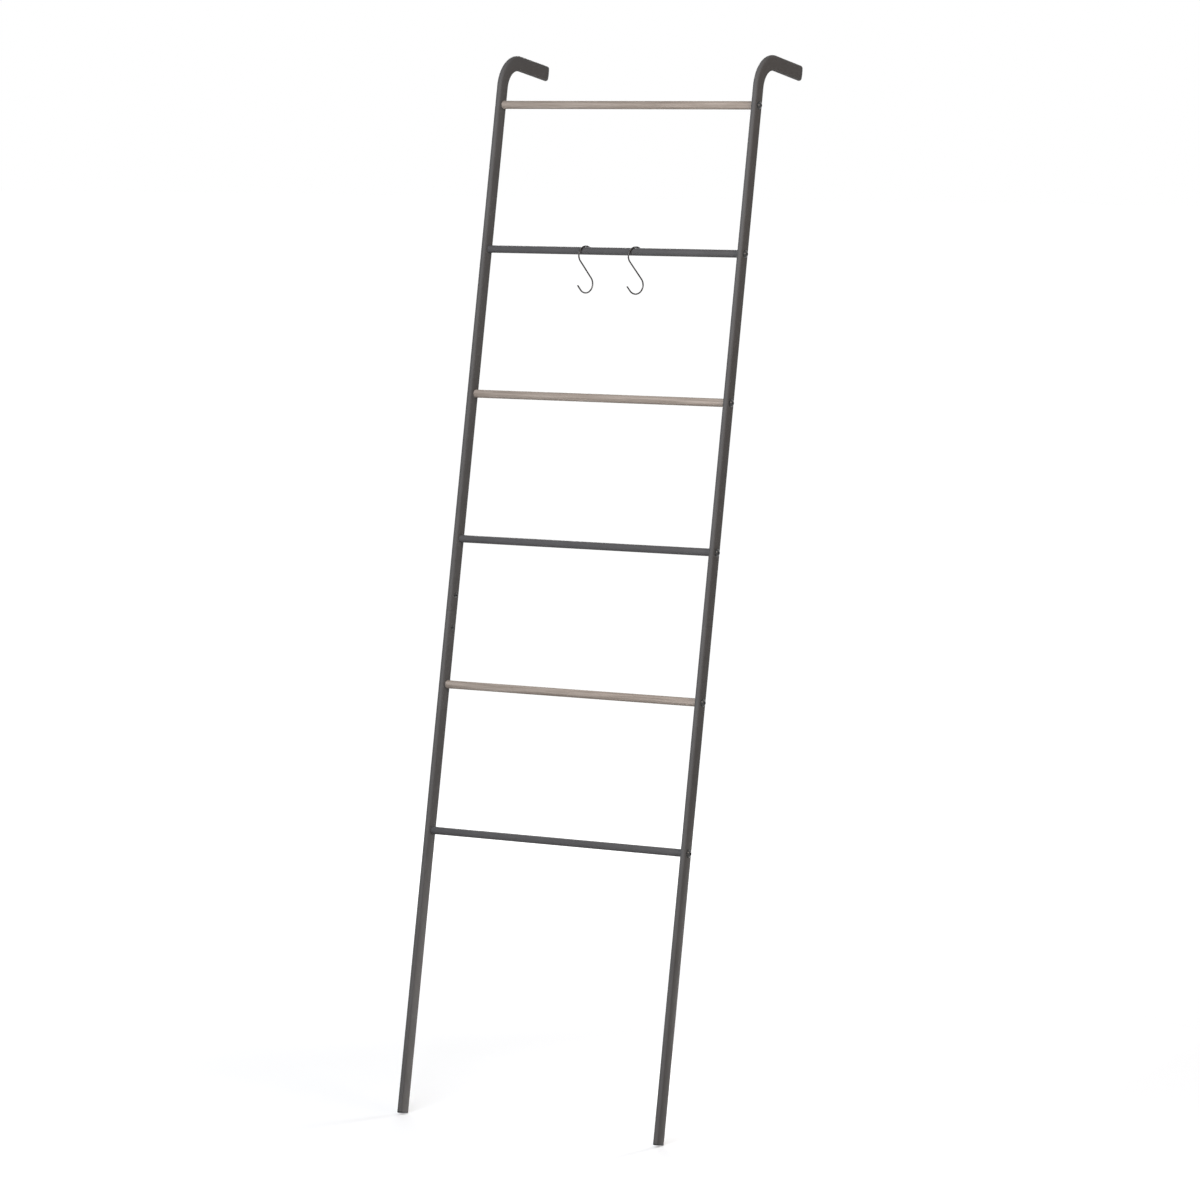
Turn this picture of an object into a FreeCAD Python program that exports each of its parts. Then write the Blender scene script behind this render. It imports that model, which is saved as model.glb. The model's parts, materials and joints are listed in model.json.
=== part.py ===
import FreeCAD
import Part
import Sketcher
import math
import os

# Leaning ladder garment rack, in millimetres.
# The row frame has X along the rungs, Y towards the wall and Z up. Its origin lies on the floor,
# midway between the two feet. The ladder itself is laid out in its own leaning frame: x along
# the rungs, y square to the rails towards the wall, z up the rails from the foot ends.

TOUCH = 1e-6
RUNG_COUNT = 6
RUNGS_BELOW_SEAM = 2
HOOK_RUNG = 5
SIDES = (("left", -1), ("right", 1))

# Every size that can be set by itself: name, value, meaning.
DRIVING_SIZES = (
    ("lean_angle", "10.63", "lean of the rails from the vertical, degrees"),
    ("rail_spacing", "503", "between the middles of the two rails"),
    ("rail_thick", "10", "rail section across, between its two flats"),
    ("rail_depth", "26.4", "rail section from front to back"),
    ("rail_wall", "1.2", "wall of the rail tube"),
    ("bottom_rung_height", "482", "foot end to the axis of the lowest rung"),
    ("rung_pitch", "250", "from one rung to the next"),
    ("arm_rise", "80", "axis of the top rung to the axis of the arms"),
    ("arm_reach", "140", "axis of the rail to the end of the arm cap"),
    ("bend_radius", "48.5", "middle line of the bend between rail and arm"),
    ("seam_rise", "125", "rung below the seam to the seam between the rail halves"),
    ("joiner_length", "110", "tube inside the seam"),
    ("joiner_wall", "1.5", "wall of that tube"),
    ("joiner_clearance", "0.1", "gap all round between joiner and rail"),
    ("screw_offset", "27.6", "seam to the axis of each joint screw"),
    ("screw_diameter", "4", "shank of the joint screw"),
    ("screw_head_diameter", "8", "head of the joint screw"),
    ("screw_head_height", "2.2", "head of the joint screw"),
    ("screw_rim", "0.8", "straight rim below the dome of that head"),
    ("screw_run", "1.5", "shank past the joiner's wall"),
    ("screw_slot_width", "1.1", "arms of the cross recess"),
    ("screw_slot_length", "4.2", "arms of the cross recess"),
    ("screw_slot_depth", "1.2", "cross recess from the top of the dome"),
    ("wood_diameter", "14", "wooden rungs"),
    ("steel_diameter", "13", "steel rungs"),
    ("steel_wall", "1.2", "wall of the steel rungs"),
    ("rung_chamfer", "1", "broken edge at the ends of the wooden rungs"),
    ("insert_diameter", "9", "threaded insert in the end of a wooden rung"),
    ("insert_length", "16", "threaded insert"),
    ("plug_length", "16", "tapped plug in the end of a steel rung"),
    ("seat_clearance", "0.05", "gap all round an insert, a plug and a thread"),
    ("bolt_diameter", "6", "shank of the rung bolt"),
    ("bolt_engagement", "12", "shank past the inner face of the rail"),
    ("bolt_clearance", "0.25", "gap all round the shank in the rail"),
    ("bolt_head_diameter", "13", "domed head of the rung bolt"),
    ("bolt_head_height", "4.8", "domed head of the rung bolt"),
    ("bolt_rim", "1", "straight rim below the dome of that head"),
    ("bolt_socket", "4", "hexagon recess across its flats"),
    ("bolt_socket_depth", "2.6", "hexagon recess from the top of the dome"),
    ("foot_flange", "2.5", "foot cap outside the tube"),
    ("foot_round", "0.8", "rounded edge of the foot cap"),
    ("arm_flange", "5.5", "arm cap outside the tube"),
    ("arm_round", "4", "rounded edge of the arm cap"),
    ("cap_plug_length", "18", "end cap inside the tube"),
    ("cap_clearance", "0.1", "gap all round between cap and tube"),
    ("hook_wire", "2.6", "wire of the hooks"),
    ("hook_loop_radius", "15.3", "middle line of both loops of a hook"),
    ("hook_loop_spacing", "48.6", "from one loop's centre to the other's"),
    ("hook_tail", "10", "straight end of the wire past each loop"),
    ("hook_tip_round", "0.9", "rounded edge at both ends of the wire"),
    ("hook_clearance", "0.3", "gap between a hanging hook and its rung"),
    ("hook_left_place", "53", "left hook, from the middle of the rung"),
    ("hook_right_place", "45.4", "right hook, from the middle of the rung"),
    ("hook_left_twist", "18.7", "left hook's turn about the vertical, degrees"),
    ("hook_right_twist", "23.5", "right hook's turn about the vertical, degrees"),
)

# Sizes that follow from the driving ones, as expressions.
RAIL_BORE_THICK = "(dims.rail_thick - 2 * dims.rail_wall)"
RAIL_BORE_DEPTH = "(dims.rail_depth - 2 * dims.rail_wall)"
TOP_RUNG_HEIGHT = "(dims.bottom_rung_height + %d * dims.rung_pitch)" % (RUNG_COUNT - 1)
ARM_HEIGHT = "(%s + dims.arm_rise)" % TOP_RUNG_HEIGHT
SEAM_HEIGHT = "(dims.bottom_rung_height + %d * dims.rung_pitch + dims.seam_rise)" % (RUNGS_BELOW_SEAM - 1)
RUNG_LENGTH = "(dims.rail_spacing - dims.rail_thick)"
STEEL_BORE = "(dims.steel_diameter - 2 * dims.steel_wall)"
PLUG_DIAMETER = "(%s - 2 * dims.seat_clearance)" % STEEL_BORE
THREAD_BORE = "(dims.bolt_diameter + 2 * dims.seat_clearance)"
HOOK_SLOPE = "asin(2 * dims.hook_loop_radius / dims.hook_loop_spacing)"

# The foot touches the floor on its rounded back edge; this is that edge's centre and lowest point.
FOOT_EDGE_BACK = "(dims.rail_depth / 2 - dims.foot_round)"
FOOT_TOUCH_Y = "(%s * cos(dims.lean_angle) + dims.foot_round * sin(dims.lean_angle))" % FOOT_EDGE_BACK
FOOT_TOUCH_Z = (
    "(dims.foot_round * cos(dims.lean_angle) - %s * sin(dims.lean_angle) - dims.foot_round)" % FOOT_EDGE_BACK
)
LADDER_FRAME = "placement(vector(0; -%s; -%s); rotationx(-dims.lean_angle))" % (FOOT_TOUCH_Y, FOOT_TOUCH_Z)

doc = FreeCAD.newDocument("ladder_garment_rack")
sheet = doc.addObject("Spreadsheet::Sheet", "dims")
for row, (alias, amount, meaning) in enumerate(DRIVING_SIZES, start=1):
    sheet.set("A%d" % row, alias)
    sheet.set("B%d" % row, amount)
    sheet.set("C%d" % row, meaning)
    sheet.setAlias("B%d" % row, alias)
doc.recompute()

sub_parts = []


def amount_of(expression):
    """Present value of an expression, for the first drawing of a sketch."""
    return float(sheet.evalExpression(expression))


def new_body(label):
    body = doc.addObject("PartDesign::Body", label)
    body.Label = label
    sub_parts.append(body)
    return body


def place(body, across, back, up, turn="rotationx(0)"):
    """Put a body in the ladder's leaning frame."""
    local = "placement(vector(%s; %s; %s); %s)" % (across, back, up, turn)
    body.setExpression("Placement", "%s * %s" % (LADDER_FRAME, local))


def sketch_on(body, role, offset=("0", "0", "0")):
    """Empty sketch on one of the body's origin planes, moved along the sketch's own axes."""
    planes = [feature for feature in body.Origin.OriginFeatures if feature.Role == role]
    sketch = body.newObject("Sketcher::SketchObject", body.Label + "_sketch")
    sketch.AttachmentSupport = [(planes[0], "")]
    sketch.MapMode = "FlatFace"
    for axis, expression in zip("xyz", offset):
        sketch.setExpression("AttachmentOffset.Base." + axis, expression)
    return sketch


def constrain(sketch, *arguments):
    return sketch.addConstraint(Sketcher.Constraint(*arguments))


def size(sketch, expression, *arguments):
    """Constraint whose amount is bound to the sheet."""
    index = constrain(sketch, *arguments, amount_of(expression))
    sketch.setExpression("Constraints[%d]" % index, expression)


def point(x, y):
    return FreeCAD.Vector(x, y, 0)


def flat_oval(sketch, thick, depth):
    """Outline with two flats and two half-round ends, centred on the sketch's origin."""
    radius = amount_of(thick) / 2
    half = amount_of(depth) / 2 - radius
    up = FreeCAD.Vector(0, 0, 1)
    right = sketch.addGeometry(Part.LineSegment(point(radius, -half), point(radius, half)), False)
    back = sketch.addGeometry(Part.ArcOfCircle(Part.Circle(point(0, half), up, radius), 0, math.pi), False)
    left = sketch.addGeometry(Part.LineSegment(point(-radius, half), point(-radius, -half)), False)
    front_arc = Part.ArcOfCircle(Part.Circle(point(0, -half), up, radius), math.pi, 2 * math.pi)
    front = sketch.addGeometry(front_arc, False)
    constrain(sketch, "Tangent", right, 2, back, 1)
    constrain(sketch, "Tangent", back, 2, left, 1)
    constrain(sketch, "Tangent", left, 2, front, 1)
    constrain(sketch, "Tangent", front, 2, right, 1)
    constrain(sketch, "Vertical", right)
    constrain(sketch, "Vertical", left)
    constrain(sketch, "Symmetric", back, 3, front, 3, -1, 1)
    size(sketch, "%s / 2" % thick, "Radius", back)
    size(sketch, "%s - %s" % (depth, thick), "DistanceY", front, 3, back, 3)


def circle(sketch, diameter, up=None):
    """Circle at the sketch's origin, or above it on the vertical axis."""
    height = amount_of(up) if up else 0
    ring = Part.Circle(point(0, height), FreeCAD.Vector(0, 0, 1), amount_of(diameter) / 2)
    index = sketch.addGeometry(ring, False)
    if up:
        constrain(sketch, "PointOnObject", index, 3, -2)
        size(sketch, up, "DistanceY", -1, 1, index, 3)
    else:
        constrain(sketch, "Coincident", index, 3, -1, 1)
    size(sketch, diameter, "Diameter", index)


def pad(body, sketch, length, both_ways=False, backwards=False):
    feature = body.newObject("PartDesign::Pad", body.Label + "_pad")
    feature.Profile = sketch
    feature.setExpression("Length", length)
    if both_ways:
        feature.SideType = "Symmetric"
    feature.Reversed = backwards
    return feature


def pocket(body, sketch, depth, both_ways=False, backwards=False):
    """Cut, with a test that it took material away."""
    doc.recompute()
    before = body.Shape.Volume
    feature = body.newObject("PartDesign::Pocket", body.Label + "_pocket")
    feature.Profile = sketch
    feature.setExpression("Length", depth)
    if both_ways:
        feature.SideType = "Symmetric"
    feature.Reversed = backwards
    doc.recompute()
    if not body.Shape.Volume < before:
        raise RuntimeError("a cut in %s removes nothing" % body.Label)
    return feature


def edges_of(feature):
    """Names and edges of a feature's shape."""
    return [("Edge%d" % index, edge) for index, edge in enumerate(feature.Shape.Edges, start=1)]


def rung_height(number):
    """Height of a rung's axis up the rail, counted from the lowest rung as 1."""
    return "(dims.bottom_rung_height + %d * dims.rung_pitch)" % (number - 1)


def rung_material(number):
    """Steel and wood take turns, with steel lowest."""
    return "steel" if number % 2 else "wood"


def rail_tube_outline(sketch):
    flat_oval(sketch, "dims.rail_thick", "dims.rail_depth")
    flat_oval(sketch, RAIL_BORE_THICK, RAIL_BORE_DEPTH)


def drill_rail(body, start, rungs, screw_height, inward):
    """Bolt holes through both walls and one screw hole through the wall that faces the rungs."""
    bolts = sketch_on(body, "YZ_Plane")
    for number in rungs:
        hole_height = "%s - %s" % (rung_height(number), start)
        circle(bolts, "(dims.bolt_diameter + 2 * dims.bolt_clearance)", hole_height)
    pocket(body, bolts, "2 * dims.rail_thick", both_ways=True)
    screw = sketch_on(body, "YZ_Plane")
    circle(screw, "(dims.screw_diameter + 2 * dims.bolt_clearance)", "%s - %s" % (screw_height, start))
    pocket(body, screw, "dims.rail_thick", backwards=inward > 0)


def lower_rail(side, sign):
    """Straight tube from the foot cap to the seam."""
    body = new_body("lower_rail_" + side)
    start = "dims.foot_flange"
    sketch = sketch_on(body, "XY_Plane")
    rail_tube_outline(sketch)
    pad(body, sketch, "%s - %s" % (SEAM_HEIGHT, start))
    rungs = range(1, RUNGS_BELOW_SEAM + 1)
    drill_rail(body, start, rungs, "(%s - dims.screw_offset)" % SEAM_HEIGHT, -sign)
    place(body, "%d * dims.rail_spacing / 2" % sign, "0", start)


def upper_rail(side, sign):
    """Tube from the seam up to a right-angle bend and along the arm to its cap."""
    body = new_body("upper_rail_" + side)
    straight = "(%s - dims.bend_radius - %s)" % (ARM_HEIGHT, SEAM_HEIGHT)
    sketch = sketch_on(body, "XY_Plane")
    rail_tube_outline(sketch)
    pad(body, sketch, straight)
    section = sketch_on(body, "XY_Plane", ("0", "0", straight))
    rail_tube_outline(section)
    radius = amount_of("dims.bend_radius")
    axis = section.addGeometry(Part.LineSegment(point(-1, radius), point(1, radius)), True)
    constrain(section, "Symmetric", axis, 1, axis, 2, -2)
    size(section, "dims.rail_thick", "DistanceX", axis, 1, axis, 2)
    size(section, "dims.bend_radius", "DistanceY", -1, 1, axis, 1)
    bend = body.newObject("PartDesign::Revolution", body.Label + "_bend")
    bend.Profile = section
    bend.ReferenceAxis = (section, ["Axis0"])
    bend.Angle = 90
    bend.Reversed = True
    arm = sketch_on(body, "XZ_Plane", ("0", "%s + dims.bend_radius" % straight, "-dims.bend_radius"))
    rail_tube_outline(arm)
    pad(body, arm, "dims.arm_reach - dims.bend_radius - dims.arm_flange", backwards=True)
    rungs = range(RUNGS_BELOW_SEAM + 1, RUNG_COUNT + 1)
    drill_rail(body, SEAM_HEIGHT, rungs, "(%s + dims.screw_offset)" % SEAM_HEIGHT, -sign)
    place(body, "%d * dims.rail_spacing / 2" % sign, "0", SEAM_HEIGHT)


def joiner(side, sign):
    """Tube inside both rail halves at the seam, tapped for the two joint screws."""
    body = new_body("joiner_" + side)
    outer_thick = "(%s - 2 * dims.joiner_clearance)" % RAIL_BORE_THICK
    outer_depth = "(%s - 2 * dims.joiner_clearance)" % RAIL_BORE_DEPTH
    sketch = sketch_on(body, "XY_Plane")
    flat_oval(sketch, outer_thick, outer_depth)
    inner_thick = "(%s - 2 * dims.joiner_wall)" % outer_thick
    inner_depth = "(%s - 2 * dims.joiner_wall)" % outer_depth
    flat_oval(sketch, inner_thick, inner_depth)
    pad(body, sketch, "dims.joiner_length", both_ways=True)
    taps = sketch_on(body, "YZ_Plane")
    for way in (-1, 1):
        circle(taps, "(dims.screw_diameter + 2 * dims.seat_clearance)", "%d * dims.screw_offset" % way)
    pocket(body, taps, "dims.rail_thick", backwards=-sign > 0)
    place(body, "%d * dims.rail_spacing / 2" % sign, "0", SEAM_HEIGHT)


def domed_fastener(body, shank_diameter, shank_length, head_diameter, head_height, rim):
    """Turned solid along X: shank towards -X, underside of the head at 0, dome towards +X."""
    shank = amount_of(shank_diameter) / 2
    length = amount_of(shank_length)
    head = amount_of(head_diameter) / 2
    height = amount_of(head_height)
    edge = amount_of(rim)
    crown = height - edge
    dome_radius = (crown * crown + head * head) / (2 * crown)
    sketch = sketch_on(body, "XZ_Plane")
    corners = [point(height, 0), point(-length, 0), point(-length, shank), point(0, shank), point(0, head)]
    corners.append(point(edge, head))
    lines = []
    for first, second in zip(corners, corners[1:]):
        lines.append(sketch.addGeometry(Part.LineSegment(first, second), False))
    centre = point(height - dome_radius, 0)
    dome_circle = Part.Circle(centre, FreeCAD.Vector(0, 0, 1), dome_radius)
    rim_angle = dome_circle.parameter(corners[-1])
    dome = sketch.addGeometry(Part.ArcOfCircle(dome_circle, 0, rim_angle), False)
    axis, tip, side, under, edge_line = lines
    for first, second in zip(lines, lines[1:]):
        constrain(sketch, "Coincident", first, 2, second, 1)
    constrain(sketch, "Coincident", edge_line, 2, dome, 2)
    constrain(sketch, "Coincident", axis, 1, dome, 1)
    constrain(sketch, "PointOnObject", axis, 1, -1)
    constrain(sketch, "PointOnObject", axis, 2, -1)
    constrain(sketch, "PointOnObject", dome, 3, -1)
    constrain(sketch, "Vertical", tip)
    constrain(sketch, "Horizontal", side)
    constrain(sketch, "PointOnObject", under, 1, -2)
    constrain(sketch, "PointOnObject", under, 2, -2)
    constrain(sketch, "Horizontal", edge_line)
    size(sketch, "%s / 2" % shank_diameter, "DistanceY", -1, 1, under, 1)
    size(sketch, "%s / 2" % head_diameter, "DistanceY", -1, 1, under, 2)
    size(sketch, shank_length, "DistanceX", axis, 2, -1, 1)
    size(sketch, head_height, "DistanceX", -1, 1, axis, 1)
    size(sketch, rim, "DistanceX", edge_line, 1, edge_line, 2)
    turned = body.newObject("PartDesign::Revolution", body.Label + "_turned")
    turned.Profile = sketch
    turned.ReferenceAxis = (sketch, ["H_Axis"])
    turned.Angle = 360


def hexagon(sketch, across_flats):
    """Regular hexagon centred on the sketch's origin, one corner on the vertical axis."""
    radius = amount_of(across_flats) / 3 ** 0.5
    turn = FreeCAD.Rotation(FreeCAD.Vector(0, 0, 1), 60)
    corners = [point(0, radius)]
    for _ in range(5):
        corners.append(turn.multVec(corners[-1]))
    sides = []
    for first, second in zip(corners, corners[1:] + corners[:1]):
        sides.append(sketch.addGeometry(Part.LineSegment(first, second), False))
    ring = Part.Circle(point(0, 0), FreeCAD.Vector(0, 0, 1), amount_of(across_flats) / 2)
    inner = sketch.addGeometry(ring, True)
    constrain(sketch, "Coincident", inner, 3, -1, 1)
    for first, second in zip(sides, sides[1:] + sides[:1]):
        constrain(sketch, "Coincident", first, 2, second, 1)
    for line in sides:
        constrain(sketch, "Tangent", line, inner)
    for line in sides[1:5]:
        constrain(sketch, "Equal", sides[0], line)
    constrain(sketch, "PointOnObject", sides[0], 1, -2)
    size(sketch, across_flats, "Diameter", inner)


def rectangle(sketch, wide, high):
    """Rectangle centred on the sketch's origin."""
    x = amount_of(wide) / 2
    y = amount_of(high) / 2
    corners = [point(-x, -y), point(x, -y), point(x, y), point(-x, y)]
    lines = []
    for first, second in zip(corners, corners[1:] + corners[:1]):
        lines.append(sketch.addGeometry(Part.LineSegment(first, second), False))
    for first, second in zip(lines, lines[1:] + lines[:1]):
        constrain(sketch, "Coincident", first, 2, second, 1)
    bottom, right, top, left = lines
    constrain(sketch, "Horizontal", bottom)
    constrain(sketch, "Horizontal", top)
    constrain(sketch, "Vertical", right)
    constrain(sketch, "Vertical", left)
    constrain(sketch, "Symmetric", bottom, 1, top, 1, -1, 1)
    size(sketch, wide, "DistanceX", bottom, 1, bottom, 2)
    size(sketch, high, "DistanceY", right, 1, right, 2)


def rung_bolt(side, sign, number):
    """Domed bolt from the outer face of a rail, through both walls, into the rung's thread."""
    body = new_body("rung_bolt_%s_%d" % (side, number))
    shank = "(dims.rail_thick + dims.bolt_engagement)"
    head = ("dims.bolt_head_diameter", "dims.bolt_head_height", "dims.bolt_rim")
    domed_fastener(body, "dims.bolt_diameter", shank, *head)
    recess = sketch_on(body, "YZ_Plane", ("0", "0", "dims.bolt_head_height"))
    hexagon(recess, "dims.bolt_socket")
    pocket(body, recess, "dims.bolt_socket_depth")
    turn = "rotationz(0)" if sign > 0 else "rotationz(180)"
    place(body, "%d * (dims.rail_spacing + dims.rail_thick) / 2" % sign, "0", rung_height(number), turn)


def joint_screw(side, sign, name, way):
    """Pan-head screw from the face of a rail towards the rungs into the joiner."""
    body = new_body("joint_screw_%s_%s" % (side, name))
    shank = "(dims.rail_wall + dims.joiner_clearance + dims.joiner_wall + dims.screw_run)"
    head = ("dims.screw_head_diameter", "dims.screw_head_height", "dims.screw_rim")
    domed_fastener(body, "dims.screw_diameter", shank, *head)
    arms = ("dims.screw_slot_width", "dims.screw_slot_length")
    for wide, high in (arms, arms[::-1]):
        recess = sketch_on(body, "YZ_Plane", ("0", "0", "dims.screw_head_height"))
        rectangle(recess, wide, high)
        pocket(body, recess, "dims.screw_slot_depth")
    turn = "rotationz(180)" if sign > 0 else "rotationz(0)"
    height = "%s + %d * dims.screw_offset" % (SEAM_HEIGHT, way)
    place(body, "%d * (dims.rail_spacing - dims.rail_thick) / 2" % sign, "0", height, turn)


def wood_rung(number):
    """Turned dowel between the rails, bored at both ends for its inserts."""
    body = new_body("wood_rung_%d" % number)
    sketch = sketch_on(body, "YZ_Plane")
    circle(sketch, "dims.wood_diameter")
    dowel = pad(body, sketch, RUNG_LENGTH, both_ways=True)
    doc.recompute()
    broken = body.newObject("PartDesign::Chamfer", body.Label + "_chamfer")
    ends = [name for name, edge in edges_of(dowel) if edge.Curve.TypeId == "Part::GeomCircle"]
    broken.Base = (dowel, ends)
    broken.setExpression("Size", "dims.rung_chamfer")
    for way, backwards in (("-1", False), ("1", True)):
        bore = sketch_on(body, "YZ_Plane", ("0", "0", "%s * %s / 2" % (way, RUNG_LENGTH)))
        circle(bore, "(dims.insert_diameter + 2 * dims.seat_clearance)")
        pocket(body, bore, "dims.insert_length + dims.seat_clearance", backwards=not backwards)
    place(body, "0", "0", rung_height(number))


def steel_rung(number):
    """Round tube between the rails."""
    body = new_body("steel_rung_%d" % number)
    sketch = sketch_on(body, "YZ_Plane")
    circle(sketch, "dims.steel_diameter")
    circle(sketch, STEEL_BORE)
    pad(body, sketch, RUNG_LENGTH, both_ways=True)
    place(body, "0", "0", rung_height(number))


def threaded_end(label, side_sign, number, diameter, length):
    """Threaded sleeve in the end of a rung, flush with that end."""
    body = new_body(label)
    sketch = sketch_on(body, "YZ_Plane")
    circle(sketch, diameter)
    circle(sketch, THREAD_BORE)
    pad(body, sketch, length, backwards=side_sign > 0)
    place(body, "%d * %s / 2" % (side_sign, RUNG_LENGTH), "0", rung_height(number))


def end_cap(end, side, across, back, up, turn):
    """Cap with a rounded flange that covers the tube's end and a plug inside the tube."""
    body = new_body("%s_cap_%s" % (end, side))
    thickness = "dims.%s_flange" % end
    sketch = sketch_on(body, "XY_Plane")
    flat_oval(sketch, "dims.rail_thick", "dims.rail_depth")
    flange = pad(body, sketch, thickness)
    doc.recompute()
    rounded = body.newObject("PartDesign::Fillet", body.Label + "_round")
    rim = [name for name, edge in edges_of(flange) if abs(edge.BoundBox.ZMax) < TOUCH]
    rounded.Base = (flange, rim)
    rounded.setExpression("Radius", "dims.%s_round" % end)
    inside = sketch_on(body, "XY_Plane", ("0", "0", thickness))
    plug_thick = "(%s - 2 * dims.cap_clearance)" % RAIL_BORE_THICK
    flat_oval(inside, plug_thick, "(%s - 2 * dims.cap_clearance)" % RAIL_BORE_DEPTH)
    pad(body, inside, "dims.cap_plug_length")
    place(body, across, back, up, turn)


def hook(side, sign):
    """S of bent wire: two half-round loops with straight tails along the straight spine between them."""
    body = new_body("hook_" + side)
    radius = amount_of("dims.hook_loop_radius")
    apart = amount_of("dims.hook_loop_spacing")
    tail = amount_of("dims.hook_tail")
    top = "(dims.steel_diameter / 2 + dims.hook_clearance + dims.hook_wire / 2 - dims.hook_loop_radius)"
    lift = amount_of(top)
    slope = math.asin(2 * radius / apart)
    down_back = point(math.sin(slope), -math.cos(slope))
    normal = FreeCAD.Vector(0, 0, 1)
    path = sketch_on(body, "YZ_Plane")
    over_rung = Part.Circle(point(0, lift), normal, radius)
    below = Part.Circle(point(0, lift - apart), normal, radius)
    back_end = over_rung.value(slope)
    front_end = below.value(slope + math.pi)
    back_tail = path.addGeometry(Part.LineSegment(back_end + down_back * tail, back_end), False)
    upper = path.addGeometry(Part.ArcOfCircle(over_rung, slope, slope + math.pi), False)
    spine_line = Part.LineSegment(over_rung.value(slope + math.pi), below.value(slope))
    spine = path.addGeometry(spine_line, False)
    lower = path.addGeometry(Part.ArcOfCircle(below, slope + math.pi, slope + 2 * math.pi), False)
    front_tail = path.addGeometry(Part.LineSegment(front_end, front_end - down_back * tail), False)
    constrain(path, "Tangent", back_tail, 2, upper, 1)
    constrain(path, "Tangent", upper, 2, spine, 1)
    constrain(path, "Tangent", spine, 2, lower, 2)
    constrain(path, "Tangent", lower, 1, front_tail, 1)
    constrain(path, "Parallel", back_tail, spine)
    constrain(path, "Parallel", front_tail, spine)
    constrain(path, "Equal", back_tail, front_tail)
    constrain(path, "PointOnObject", upper, 3, -2)
    constrain(path, "PointOnObject", lower, 3, -2)
    constrain(path, "Equal", upper, lower)
    size(path, "dims.hook_loop_radius", "Radius", upper)
    size(path, "-%s" % top, "DistanceY", upper, 3, -1, 1)
    size(path, "dims.hook_loop_spacing", "DistanceY", lower, 3, upper, 3)
    size(path, "dims.hook_tail", "Distance", back_tail)
    tip_back = "dims.hook_loop_radius * cos(%s) + dims.hook_tail * sin(%s)" % (HOOK_SLOPE, HOOK_SLOPE)
    tip_up = "%s + dims.hook_loop_radius * sin(%s) - dims.hook_tail * cos(%s)" % (top, HOOK_SLOPE, HOOK_SLOPE)
    wire = sketch_on(body, "XY_Plane", ("0", tip_back, tip_up))
    wire.setExpression("AttachmentOffset.Rotation", "rotationx(%s)" % HOOK_SLOPE)
    circle(wire, "dims.hook_wire")
    sweep = body.newObject("PartDesign::AdditivePipe", body.Label + "_sweep")
    sweep.Profile = wire
    sweep.Spine = (path, ["Edge%d" % number for number in range(1, 6)])
    doc.recompute()
    rounded = body.newObject("PartDesign::Fillet", body.Label + "_tips")
    flat_ends = [face for face in sweep.Shape.Faces if face.Surface.TypeId == "Part::GeomPlane"]
    rims = [name for name, edge in edges_of(sweep) if any(edge.isSame(face.Edges[0]) for face in flat_ends)]
    rounded.Base = (sweep, rims)
    rounded.setExpression("Radius", "dims.hook_tip_round")
    at_rung = "%s * placement(vector(%d * dims.hook_%s_place; 0; %s); rotationx(0))" % (
        LADDER_FRAME,
        sign,
        side,
        rung_height(HOOK_RUNG),
    )
    turned = "placement(vector(0; 0; 0); rotationx(dims.lean_angle) * rotationz(-dims.hook_%s_twist))" % side
    body.setExpression("Placement", "%s * %s" % (at_rung, turned))


for side, sign in SIDES:
    across = "%d * dims.rail_spacing / 2" % sign
    lower_rail(side, sign)
    upper_rail(side, sign)
    joiner(side, sign)
    joint_screw(side, sign, "lower", -1)
    joint_screw(side, sign, "upper", 1)
    end_cap("foot", side, across, "0", "0", "rotationx(0)")
    end_cap("arm", side, across, "dims.arm_reach", ARM_HEIGHT, "rotationx(90)")
    hook(side, sign)

for number in range(1, RUNG_COUNT + 1):
    if rung_material(number) == "wood":
        wood_rung(number)
    else:
        steel_rung(number)
    for side, sign in SIDES:
        if rung_material(number) == "wood":
            label = "threaded_insert_%s_%d" % (side, number)
            threaded_end(label, sign, number, "dims.insert_diameter", "dims.insert_length")
        else:
            label = "tapped_plug_%s_%d" % (side, number)
            threaded_end(label, sign, number, PLUG_DIAMETER, "dims.plug_length")
        rung_bolt(side, sign, number)

doc.recompute()

failed = [item.Name for item in doc.Objects if "Invalid" in item.State or "Error" in item.State]
if failed:
    raise RuntimeError("objects that did not rebuild: " + ", ".join(failed))
for body in sub_parts:
    if body.Shape.isNull() or not body.Shape.isValid():
        raise RuntimeError("%s has no valid shape" % body.Label)

os.makedirs("parts", exist_ok=True)
for body in sub_parts:
    body.Shape.exportStep(os.path.join("parts", body.Label + ".step"))
print("%d sub-parts written" % len(sub_parts))
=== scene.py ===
import json
import math

import bmesh
import bpy
from mathutils import Matrix, Vector


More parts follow.
